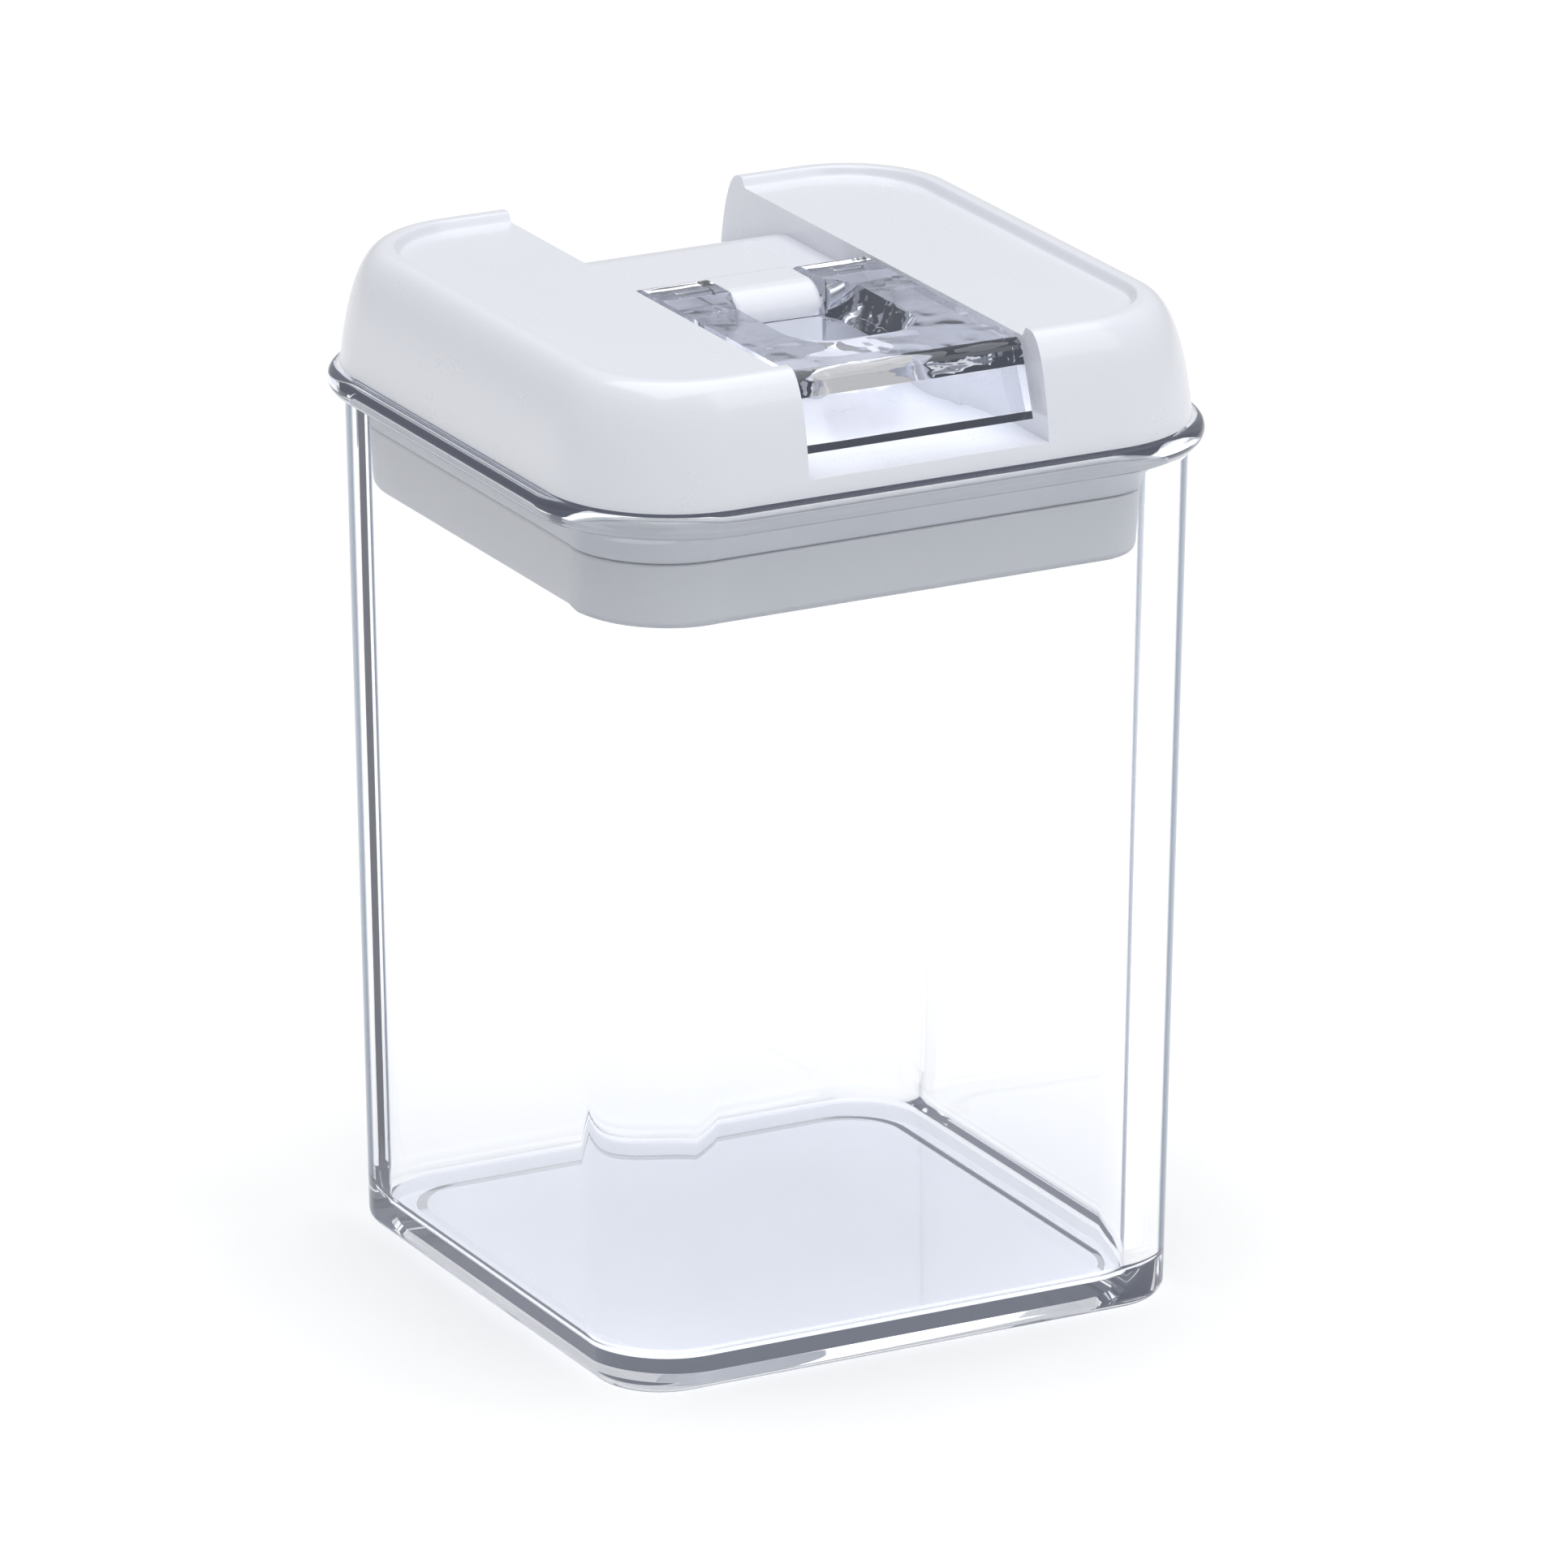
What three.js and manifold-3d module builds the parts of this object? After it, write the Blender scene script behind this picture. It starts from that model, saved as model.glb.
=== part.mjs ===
// Square storage canister with a flip-lock lid.
// Millimetres, +Z up, origin at the centre of the foot, front (lever lip) towards -Y.
//
// The clear jar is a drafted rounded square with a rolled bead at its mouth. The lid is a white
// cover over an underframe that plugs the mouth. A lever on a cross pin turns two cams against
// the floor of the cover's well: lying down it holds the lift post high, so the pressure plate
// squeezes the seal outwards; standing up it lets the post and plate drop and the seal relax.

import * as THREE from "three";
import { mergeVertices } from "three/addons/utils/BufferGeometryUtils.js";
import Module from "manifold-3d";

const wasm = await Module();
wasm.setup();

// ---------------------------------------------------------------- driving sizes

// Jar
const jarWidth = 96;            // across the flats, just under the bead
const jarHeight = 131.7;        // foot to rim
const jarCorner = 13;           // outer corner radius at the mouth
const mouthCorner = 14.8;       // inner corner radius at the mouth: the corners are thicker
const jarDraft = 2.4;           // how far each wall leans in from mouth to foot
const jarWall = 2.2;
const jarFloor = 3.4;           // floor thickness over the recessed base panel
const footRound = 2;            // radius of the outer bottom edge
const footWidth = 4.4;          // width of the flat ring that the jar stands on
const footStep = 1.4;           // width of the step between the ring and the base panel
const panelRecess = 1;          // height of the base panel above the ring
const panelCorner = 8.7;
const floorFillet = 2;          // inside radius between wall and floor
const beadReach = 4.2;          // how far the bead stands out of the wall
const beadHeight = 3.4;
const beadCorner = 22.5;        // rounder than the wall, so the bead narrows at the corners
const rimRound = 0.5;

// Cover
const coverInset = 2.2;         // bead edge in to the cover's lower edge
const coverCorner = 19.2;       // corner radius of the lower edge
const coverWall = 2.2;
const crestInset = 6.2;         // lower edge in to the crest
const crestCorner = 15;
const crestWidth = 0.9;         // flat width of the raised rim
const shoulderInset = 2.6;      // lower edge in to the curve's upper handle
const leanInset = 0.7;          // lower edge in to the curve's lower handle
const dishDepth = 1.4;
const dishRound = 1.2;          // width of the slope from the rim down to the dish
const channelWidth = 38;
const deckDrop = 3.7;           // dish down to the channel's rear deck
const deckRun = 19.4;           // length of the rear deck
const rampEdgeDrop = 10.5;      // dish down to the lower end of the rear ramp

// Underframe, seal and pressure plate
const skirtDepth = 4.5;         // cover's lower edge down to the underframe's floor
const frameWall = 2.2;
const frameFlange = 2.2;
const frameHeadroom = 2.6;      // underframe's floor up to the underside of the well
const frameClearance = 0.8;     // flange to the inside of the cover
const mouthClearance = 0.5;     // skirt to the jar's wall
const ribDepth = 3;             // rib that keeps the seal from folding inwards
const ribWall = 1.6;
const sealHeight = 3.6;
const sealWidth = 4.4;
const sealBulge = 0.5;          // how far the pinched seal swells past its edges
const sealGap = 0.35;           // seal to the jar's wall
const plateHeight = 9.8;
const plateWall = 2.2;
const plateClearance = 0.75;    // plate's upper edge to the jar's wall
const plateDraft = 0.9;
const plateRound = 1.5;

// Mechanism
const camReach = 6.6;           // pin axis to the cam's foot when locked
const camDrop = 2.4;            // how far the post drops over a quarter turn
const pinFromCentre = 3;        // how far the pin sits behind the lid's centre
const pinRadius = 1.5;
const pinInset = 1;             // pin end in from the lever's side
const sweepClearance = 1;       // turned lever to the rear wall of the well
const leverSide = 1;            // lever to each wall of the channel
const leverPlate = 4.8;         // thickness of the lever's plate
const leverRound = 2.2;
const lipRise = 2.8;            // floor of the well up to the bottom of the lip
const lipWall = 3.5;
const lipInset = 2.5;           // cover's face in to the lip's lower edge
const rearRound = 5.1;          // radius of the lever's rear top edge
const fingerLength = 23;        // finger opening, front to back, at its lower edge
const fingerWidth = 14.8;       // finger opening across, at its lower edge
const fingerFlare = 3;          // how far the opening widens to its upper edge
const fingerCorner = 4;
const postWidth = 14;
const postFront = 8.5;          // pin axis forward to the face of the post
const postRear = 5.5;           // pin axis back to the rear of the post
const postWall = 2.4;
const postRound = 4.6;
const postSolidHeight = 13;     // solid knuckle above the post's hollow core
const socketHeight = 5.4;
const socketWall = 2;

// Fits
const gap = 0.3;                // between pieces that touch
const slide = 0.4;              // round the post where it slides
const cut = 5;                  // how far a cutting solid runs past what it cuts

// Smoothness
const cornerSteps = 8;
const curveSteps = 8;
const arcSteps = 4;
const roundSteps = 24;

const DEG = Math.PI / 180;
const QUARTER = 90 * DEG;

// ---------------------------------------------------------------- levels and widths that follow

const jarHalf = jarWidth / 2;
const outerCentre = jarHalf - jarCorner;
const innerCentre = jarHalf - jarWall - mouthCorner;
const beadHalf = jarHalf + beadReach;
const beadCentre = beadHalf - beadCorner;
const panelHalf = jarHalf - jarDraft - footRound - footWidth - footStep;
const floorTop = panelRecess + jarFloor;

const coverBase = jarHeight + gap;
const coverHalf = beadHalf - coverInset;
const coverCentre = coverHalf - coverCorner;
const crestHalf = coverHalf - crestInset;

const frameBottom = coverBase - skirtDepth;
const frameFloor = frameBottom + frameWall;
const wellFloor = frameFloor + frameHeadroom + coverWall;
const pinHeight = wellFloor + gap + camReach;
const pinY = pinFromCentre;
const leverTop = pinHeight + camReach;
const dishLevel = leverTop;
const crest = dishLevel + dishDepth;
const deckLevel = dishLevel - deckDrop;
const rampEdge = dishLevel - rampEdgeDrop;

const channelHalf = channelWidth / 2;
const wellRear = pinY + camReach + sweepClearance;
const deckRear = wellRear + deckRun;
const leverHalf = channelHalf - leverSide;

const sealTop = frameBottom - gap;
const sealBottom = sealTop - sealHeight;
const plateTop = sealBottom - gap;
const plateBottom = plateTop - plateHeight;
const plateFloor = plateBottom + plateWall;

const postBottom = plateFloor + gap;
const postTop = leverTop - gap;
const coreTop = postTop - postSolidHeight;

/** Half-width of the jar's outside at a height: a straight wall, drafted from mouth to foot. */
function jarOuter(z) {
  return jarHalf - jarDraft * (1 - z / jarHeight);
}

/** Half-width of the jar's inside at a height. */
function jarInner(z) {
  return jarOuter(z) - jarWall;
}

// ---------------------------------------------------------------- making solids

/** A rounded square or rectangle at one height. */
function ring(half, corner, z, options = {}) {
  const { halfY = half, centreY = 0 } = options;
  return { halfX: half, halfY, corner, z, centreY };
}

/** A ring whose corners turn about the centres of the jar's inner corners. */
function innerRing(half, z) {
  return ring(half, half - innerCentre, z);
}

/** A ring whose corners turn about the centres of the cover's corners. */
function coverRing(half, z) {
  return ring(half, half - coverCentre, z);
}

/**
 * Rings round an arc in a wall's section, angles in degrees from straight outwards. Their
 * corners turn about the corner centre given.
 */
function arcRings(centreHalf, centreZ, radius, from, to, cornerCentre) {
  const rings = [];
  for (let i = 0; i <= arcSteps; i += 1) {
    const angle = (from + (to - from) * i / arcSteps) * DEG;
    const half = centreHalf + radius * Math.cos(angle);
    rings.push(ring(half, half - cornerCentre, centreZ + radius * Math.sin(angle)));
  }
  return rings;
}

/** The corner points of a ring, anticlockwise from the +X side. */
function ringPoints({ halfX, halfY, corner, z, centreY }) {
  const points = [];
  const signs = [[1, 1], [-1, 1], [-1, -1], [1, -1]];
  signs.forEach(([signX, signY], quarter) => {
    for (let i = 0; i <= cornerSteps; i += 1) {
      const angle = QUARTER * (quarter + i / cornerSteps);
      const x = signX * (halfX - corner) + corner * Math.cos(angle);
      const y = centreY + signY * (halfY - corner) + corner * Math.sin(angle);
      points.push(new THREE.Vector3(x, y, z));
    }
  });
  return points;
}

/** A closed skin over a stack of rings, with a flat cap on the first and the last. */
function loft(rings) {
  const count = 4 * (cornerSteps + 1);
  const positions = rings.flatMap((item) => ringPoints(item).flatMap((p) => p.toArray()));
  const index = [];
  for (let row = 0; row + 1 < rings.length; row += 1) {
    for (let i = 0; i < count; i += 1) {
      const a = row * count + i;
      const b = row * count + (i + 1) % count;
      index.push(a, b, b + count, a, b + count, a + count);
    }
  }
  const last = (rings.length - 1) * count;
  for (let i = 1; i + 1 < count; i += 1) {
    index.push(0, i + 1, i);
    index.push(last, last + i, last + i + 1);
  }
  const geometry = new THREE.BufferGeometry();
  geometry.setAttribute("position", new THREE.Float32BufferAttribute(positions, 3));
  geometry.setIndex(index);
  return toSolid(geometry);
}

/** An outline in the Y-Z plane carried from -halfWidth to halfWidth along X. */
function acrossX(points, halfWidth) {
  const outline = new THREE.Shape(points.map(([y, z]) => new THREE.Vector2(y, z)));
  const geometry = new THREE.ExtrudeGeometry(outline, { depth: 2 * halfWidth, bevelEnabled: false });
  const toRow = new THREE.Matrix4().makeBasis(
    new THREE.Vector3(0, 1, 0),
    new THREE.Vector3(0, 0, 1),
    new THREE.Vector3(1, 0, 0),
  );
  geometry.applyMatrix4(toRow);
  geometry.translate(-halfWidth, 0, 0);
  return toSolid(geometry);
}

/** An upright block between two corners. */
function block(low, high) {
  const size = high.map((value, axis) => value - low[axis]);
  const geometry = new THREE.BoxGeometry(...size);
  geometry.translate(...low.map((value, axis) => value + size[axis] / 2));
  return toSolid(geometry);
}

/** A round bar along X through the pivot. */
function pivotBar(radius, halfLength) {
  const geometry = new THREE.CylinderGeometry(radius, radius, 2 * halfLength, roundSteps);
  geometry.rotateZ(QUARTER);
  geometry.translate(0, pinY, pinHeight);
  return toSolid(geometry);
}

/** A three.js geometry as a manifold solid. */
function toSolid(geometry) {
  const bare = geometry.clone();
  bare.deleteAttribute("normal");
  bare.deleteAttribute("uv");
  const merged = mergeVertices(bare, 1e-4);
  const vertProperties = new Float32Array(merged.attributes.position.array);
  const triVerts = new Uint32Array(merged.index.array);
  return new wasm.Manifold(new wasm.Mesh({ numProp: 3, vertProperties, triVerts }));
}

/** A manifold solid as a named mesh with its own material. */
function piece(name, solid, look) {
  const { vertProperties, triVerts } = solid.getMesh();
  const geometry = new THREE.BufferGeometry();
  geometry.setAttribute("position", new THREE.Float32BufferAttribute(vertProperties, 3));
  geometry.setIndex(new THREE.Uint32BufferAttribute(triVerts, 1));
  geometry.computeVertexNormals();
  const mesh = new THREE.Mesh(geometry, new THREE.MeshStandardMaterial(look));
  mesh.name = name;
  return mesh;
}

/** Points round an arc in the Y-Z plane, angles in degrees from +Y towards +Z. */
function arc(centreY, centreZ, radius, from, to, steps = curveSteps) {
  const points = [];
  for (let i = 0; i <= steps; i += 1) {
    const angle = (from + (to - from) * i / steps) * DEG;
    points.push([centreY + radius * Math.cos(angle), centreZ + radius * Math.sin(angle)]);
  }
  return points;
}

// ---------------------------------------------------------------- jar

function makeJar() {
  const footHalf = jarOuter(0) - footRound;
  const stepHalf = footHalf - footWidth;
  const beadRound = beadHeight / 2;
  const beadLevel = jarHeight - beadRound;
  const beadUnder = jarHeight - beadHeight;
  const filletLevel = floorTop + floorFillet;
  const filletHalf = jarInner(filletLevel) - floorFillet;
  return loft([
    ring(panelHalf, panelCorner, panelRecess),
    ring(stepHalf, panelCorner + footStep, 0),
    ...arcRings(footHalf, footRound, footRound, -90, 0, outerCentre),
    ring(jarOuter(beadUnder), jarOuter(beadUnder) - outerCentre, beadUnder),
    ...arcRings(beadHalf - beadRound, beadLevel, beadRound, -90, 90, beadCentre),
    ...arcRings(jarInner(jarHeight) + rimRound, jarHeight - rimRound, rimRound, 90, 180, innerCentre),
    ...arcRings(filletHalf, filletLevel, floorFillet, 0, -90, innerCentre),
  ]);
}

// ---------------------------------------------------------------- cover

/** The side of the cover from its lower edge to its crest, one soft S-free curve. */
function coverCurve() {
  const height = crest - coverBase;
  return new THREE.CubicBezierCurve(
    new THREE.Vector2(coverHalf, coverBase),
    new THREE.Vector2(coverHalf - leanInset, coverBase + height / 2),
    new THREE.Vector2(coverHalf - shoulderInset, crest),
    new THREE.Vector2(crestHalf, crest),
  );
}

/** Corner radius of the cover, easing from the lower edge's to the crest's. */
function coverCornerAt(half) {
  const share = (coverHalf - half) / crestInset;
  return coverCorner + (crestCorner - coverCorner) * share;
}

/** The cover's half-width at a height, read off its curve. */
function coverHalfAt(z) {
  const fine = coverCurve().getPoints(16 * curveSteps);
  return fine.find((point) => point.y >= z).x;
}

function makeCoverSkin() {
  const side = coverCurve().getPoints(curveSteps);
  const dishEdge = crestHalf - crestWidth;
  const dishCorner = crestCorner - crestWidth;
  return loft([
    ...side.map(({ x, y }) => ring(x, coverCornerAt(x), y)),
    ring(dishEdge, dishCorner, crest),
    ring(dishEdge - dishRound, dishCorner - dishRound, dishLevel),
  ]);
}

/** The hollow under the cover, one wall thickness inside its skin. */
function makeCoverHollow() {
  const top = dishLevel - coverWall;
  const squash = (top - coverBase) / (crest - coverBase);
  const side = coverCurve().getPoints(curveSteps);
  const start = ring(coverHalf - coverWall, coverCorner - coverWall, coverBase - cut);
  return loft([
    start,
    ...side.map(({ x, y }) => ring(
      x - coverWall,
      coverCornerAt(x) - coverWall,
      coverBase + (y - coverBase) * squash,
    )),
  ]);
}

/** The channel's floor in the Y-Z plane, front to back, lowered by a depth: well, deck, ramp. */
function channelOutline(depth) {
  const front = -coverHalf - cut;
  const back = coverHalf + cut;
  const rampSlope = (deckLevel - rampEdge) / (coverHalfAt(rampEdge) - deckRear);
  const rampEnd = deckLevel - rampSlope * (back - deckRear);
  const top = crest + cut;
  return [
    [front, wellFloor - depth],
    [wellRear + depth, wellFloor - depth],
    [wellRear + depth, deckLevel - depth],
    [deckRear, deckLevel - depth],
    [back, rampEnd - depth],
    [back, top],
    [front, top],
  ];
}

function makeCover() {
  const tub = acrossX(channelOutline(coverWall), channelHalf + coverWall);
  const channel = acrossX(channelOutline(0), channelHalf);
  const postHole = block(
    [-postWidth / 2 - slide, pinY - postFront - slide, wellFloor - coverWall - cut],
    [postWidth / 2 + slide, pinY + postRear + slide, wellFloor + cut],
  );
  const hollow = makeCoverHollow().subtract(tub);
  return makeCoverSkin().subtract(hollow).subtract(channel).subtract(postHole);
}

// ---------------------------------------------------------------- underframe, seal, plate

function makeUnderframe() {
  const skirtHalf = jarInner(frameBottom) - mouthClearance;
  const flangeHalf = coverHalf - coverWall - frameClearance;
  const body = loft([
    innerRing(skirtHalf, frameBottom),
    innerRing(skirtHalf, coverBase),
    coverRing(flangeHalf, coverBase),
    coverRing(flangeHalf, coverBase + frameFlange),
  ]);
  const hollow = loft([
    innerRing(skirtHalf - frameWall, frameFloor),
    innerRing(skirtHalf - frameWall, coverBase + frameFlange + cut),
  ]);
  const ribHalf = jarInner(sealBottom) - sealGap - sealWidth - gap;
  const rib = loft([
    innerRing(ribHalf, frameBottom - ribDepth),
    innerRing(ribHalf, frameBottom + frameWall / 2),
  ]);
  const ribHollow = loft([
    innerRing(ribHalf - ribWall, frameBottom - ribDepth - cut),
    innerRing(ribHalf - ribWall, frameBottom),
  ]);
  const postHole = block(
    [-postWidth / 2 - slide, pinY - postFront - slide, frameBottom - cut],
    [postWidth / 2 + slide, pinY + postRear + slide, frameFloor + cut],
  );
  const tubRoom = acrossX(channelOutline(coverWall + gap), channelHalf + coverWall + gap);
  return body.subtract(hollow).add(rib.subtract(ribHollow)).subtract(tubRoom).subtract(postHole);
}

function makeSeal() {
  const outer = jarInner(sealBottom) - sealGap;
  const shoulder = sealHeight / 3;
  const body = loft([
    innerRing(outer - sealBulge, sealBottom),
    innerRing(outer, sealBottom + shoulder),
    innerRing(outer, sealTop - shoulder),
    innerRing(outer - sealBulge, sealTop),
  ]);
  const hole = loft([
    innerRing(outer - sealWidth, sealBottom - cut),
    innerRing(outer - sealWidth, sealTop + cut),
  ]);
  return body.subtract(hole);
}

function makePlate() {
  const topHalf = jarInner(plateTop) - plateClearance;
  const bottomHalf = topHalf - plateDraft;
  const body = loft([
    ...arcRings(bottomHalf - plateRound, plateBottom + plateRound, plateRound, -90, 0, innerCentre),
    innerRing(topHalf, plateTop),
  ]);
  const hollow = loft([
    innerRing(bottomHalf - plateWall, plateFloor),
    innerRing(topHalf - plateWall, plateTop),
    innerRing(topHalf - plateWall, plateTop + cut),
  ]);
  const socketInside = [postWidth / 2 + gap, postFront + gap, postRear + gap];
  const [insideX, insideFront, insideRear] = socketInside;
  const socket = block(
    [-insideX - socketWall, pinY - insideFront - socketWall, plateFloor - plateWall / 2],
    [insideX + socketWall, pinY + insideRear + socketWall, plateFloor + socketHeight],
  );
  const socketHole = block(
    [-insideX, pinY - insideFront, plateFloor],
    [insideX, pinY + insideRear, plateFloor + socketHeight + cut],
  );
  return body.subtract(hollow).add(socket).subtract(socketHole);
}

// ---------------------------------------------------------------- post, lever, pin

function makePost() {
  const front = pinY - postFront;
  const rear = pinY + postRear;
  const outline = [
    [front, postBottom],
    [rear, postBottom],
    ...arc(rear - postRound, postTop - postRound, postRound, 0, 90),
    ...arc(front + postRound, postTop - postRound, postRound, 90, 180),
  ];
  const core = block(
    [-postWidth / 2 + postWall, front + postWall, postBottom - cut],
    [postWidth / 2 - postWall, rear - postWall, coreTop],
  );
  return acrossX(outline, postWidth / 2)
    .subtract(core)
    .subtract(pivotBar(pinRadius + gap, postWidth));
}

/**
 * The cam's edge. Turned by an angle, the cam reaches camReach minus an even share of camDrop
 * below the pin, so each point is that reach along its normal and the share's slope across it.
 */
function camPoints() {
  const slope = camDrop / QUARTER;
  const points = [];
  for (let i = 0; i <= curveSteps; i += 1) {
    const angle = QUARTER * i / curveSteps;
    const reach = camReach - slope * angle;
    const y = reach * Math.sin(angle) - slope * Math.cos(angle);
    const z = -reach * Math.cos(angle) - slope * Math.sin(angle);
    points.push([pinY + y, pinHeight + z]);
  }
  return points;
}

/** The lever from the side: cam, rounded back, flat top, front face, lip, underside. */
function leverOutline() {
  const rear = pinY + camReach - camDrop;
  const slope = camDrop / QUARTER;
  const under = leverTop - leverPlate;
  const lipBottom = wellFloor + lipRise;
  const frontTop = -crestHalf;
  const frontBottom = -(coverHalfAt(lipBottom) - lipInset);
  const bellyCentre = pinY - slope;
  const bellyEnd = -180 - Math.asin((under - pinHeight) / camReach) / DEG;
  return [
    ...camPoints(),
    ...arc(rear - rearRound, leverTop - rearRound, rearRound, 0, 90),
    ...arc(frontTop + leverRound, leverTop - leverRound, leverRound, 90, 165, arcSteps),
    [frontBottom, lipBottom],
    [frontBottom + lipWall, lipBottom],
    [frontTop + lipWall, under],
    ...arc(bellyCentre, pinHeight, camReach, bellyEnd, -90).slice(0, -1),
  ];
}

function makeLever() {
  const slotFront = pinY - postFront - slide;
  const slot = block(
    [-postWidth / 2 - slide, slotFront, wellFloor],
    [postWidth / 2 + slide, pinY + camReach + cut, leverTop + cut],
  );
  const under = leverTop - leverPlate;
  const rise = leverPlate + 2 * cut;
  const flarePerLevel = fingerFlare / leverPlate;
  const fingerRing = (level) => {
    const flare = (level - under) * flarePerLevel;
    return ring(fingerWidth / 2 + flare, fingerCorner + flare, level, {
      halfY: fingerLength / 2 + flare,
      centreY: slotFront - fingerLength / 2,
    });
  };
  const finger = loft([fingerRing(under - cut), fingerRing(under - cut + rise)]);
  return acrossX(leverOutline(), leverHalf)
    .subtract(slot)
    .subtract(finger)
    .subtract(pivotBar(pinRadius + gap, leverHalf + cut));
}

// ---------------------------------------------------------------- looks and assembly

const clearGlass = { color: 0xe6eaf4, roughness: 0.04, metalness: 0 };
const whitePlastic = { color: 0xdfe1ea, roughness: 0.35, metalness: 0 };
const innerPlastic = { color: 0xd0d4db, roughness: 0.4, metalness: 0 };
const softSilicone = { color: 0xc9ccd4, roughness: 0.6, metalness: 0 };
const clearPlastic = { color: 0xeef0f6, roughness: 0.06, metalness: 0 };
const steel = { color: 0xb9bcc2, roughness: 0.25, metalness: 1 };

const jar = new THREE.Group();
jar.add(piece("glass_jar", makeJar(), clearGlass));

const lid = new THREE.Group();
lid.add(piece("lid_cover", makeCover(), whitePlastic));
lid.add(piece("lid_underframe", makeUnderframe(), innerPlastic));
lid.add(piece("seal_gasket", makeSeal(), softSilicone));

const lift = new THREE.Group();
lift.add(piece("pressure_plate", makePlate(), innerPlastic));
lift.add(piece("lift_post", makePost(), whitePlastic));

const lever = new THREE.Group();
lever.add(piece("flip_lever", makeLever(), clearPlastic));
lever.add(piece("pivot_pin", pivotBar(pinRadius, leverHalf - pinInset), steel));

lift.add(lever);
lid.add(lift);

const canister = new THREE.Group();
canister.add(jar, lid);

export default canister;
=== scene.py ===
"""A square clear storage canister with a white flip-lock lid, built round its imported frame.

Every new piece is a surface worked out with numpy in metres, in the frame's own axes: +Z up,
the lever's lip towards -Y. A piece is either a stack of rounded-square rings or an outline in
the Y-Z plane carried across X, with its holes cut and its sharp seams rounded.
"""

import math

import bpy
import numpy as np
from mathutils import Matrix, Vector


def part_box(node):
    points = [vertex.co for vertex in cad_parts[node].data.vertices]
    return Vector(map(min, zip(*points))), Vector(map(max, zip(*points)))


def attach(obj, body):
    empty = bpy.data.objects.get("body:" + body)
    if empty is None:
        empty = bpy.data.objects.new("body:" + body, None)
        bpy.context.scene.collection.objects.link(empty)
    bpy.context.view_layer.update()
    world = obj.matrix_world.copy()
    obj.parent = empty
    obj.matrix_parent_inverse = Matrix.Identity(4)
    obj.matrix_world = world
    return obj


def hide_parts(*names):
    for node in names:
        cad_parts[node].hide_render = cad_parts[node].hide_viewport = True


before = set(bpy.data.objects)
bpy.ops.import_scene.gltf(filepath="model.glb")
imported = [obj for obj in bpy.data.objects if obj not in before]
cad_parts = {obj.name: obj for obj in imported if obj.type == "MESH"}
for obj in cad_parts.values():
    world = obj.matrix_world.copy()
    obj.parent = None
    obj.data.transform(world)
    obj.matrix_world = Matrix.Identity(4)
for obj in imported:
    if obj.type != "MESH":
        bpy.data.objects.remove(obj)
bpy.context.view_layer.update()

# ---------------------------------------------------------------- sizes

MM = 0.001

# Jar
JAR_CORNER = 13.0 * MM
MOUTH_CORNER = 14.8 * MM
JAR_DRAFT = 2.4 * MM
JAR_WALL = 2.2 * MM
JAR_FLOOR = 3.4 * MM
FOOT_ROUND = 2.0 * MM
FOOT_WIDTH = 4.4 * MM
FOOT_STEP = 1.4 * MM
PANEL_RECESS = 1.0 * MM
PANEL_CORNER = 8.7 * MM
FLOOR_FILLET = 2.0 * MM
BEAD_REACH = 4.2 * MM
BEAD_HEIGHT = 3.4 * MM
BEAD_CORNER = 22.5 * MM
BEAD_FILLET = 1.2 * MM
RIM_ROUND = 0.5 * MM
STEP_ROUND = 0.45 * MM

# Cover
COVER_CORNER = 19.2 * MM
COVER_WALL = 2.2 * MM
CREST_INSET = 6.2 * MM
CREST_CORNER = 15.0 * MM
CREST_WIDTH = 0.9 * MM
SHOULDER_INSET = 2.6 * MM
LEAN_INSET = 0.7 * MM
DISH_ROUND = 1.2 * MM
DECK_DROP = 3.7 * MM
DECK_RUN = 19.4 * MM
DECK_BEND = 14.0 * MM
RAMP_EDGE_DROP = 10.5 * MM
STEP_FILLET = 0.6 * MM
COVER_EDGE = 0.5 * MM

# Underframe, seal and plate
FRAME_WALL = 2.2 * MM
MOUTH_CLEARANCE = 0.5 * MM
RIB_WALL = 1.6 * MM
MOULD_EDGE = 0.4 * MM
SEAL_WIDTH = 4.4 * MM
SEAL_BULGE = 0.5 * MM
PLATE_WALL = 2.2 * MM
PLATE_DRAFT = 0.9 * MM
PLATE_ROUND = 1.5 * MM
SOCKET_HEIGHT = 5.4 * MM
SOCKET_WALL = 2.0 * MM

# Mechanism
CAM_REACH = 6.6 * MM
CAM_DROP = 2.4 * MM
PIN_BEHIND_CENTRE = 3.0 * MM
PIN_CHAMFER = 0.3 * MM
SWEEP_CLEARANCE = 1.0 * MM
LEVER_SIDE = 1.0 * MM
LEVER_PLATE = 4.8 * MM
LEVER_ROUND = 2.2 * MM
LEVER_EDGE = 0.45 * MM
LIP_RISE = 2.8 * MM
LIP_WALL = 3.5 * MM
LIP_INSET = 2.5 * MM
REAR_ROUND = 5.1 * MM
FINGER_LENGTH = 23.0 * MM
FINGER_WIDTH = 14.8 * MM
FINGER_FLARE = 3.0 * MM
FINGER_CORNER = 4.0 * MM
POST_ROUND = 4.6 * MM
POST_WALL = 2.4 * MM
POST_SOLID = 13.0 * MM
POST_EDGE = 0.9 * MM
GAP = 0.3 * MM
SLIDE = 0.4 * MM
CUT = 5.0 * MM

QUARTER = math.pi / 2


def node_box(name):
    """A frame node's lowest and highest corners, as two arrays."""
    low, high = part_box(name)
    return np.array(low), np.array(high)


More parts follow.
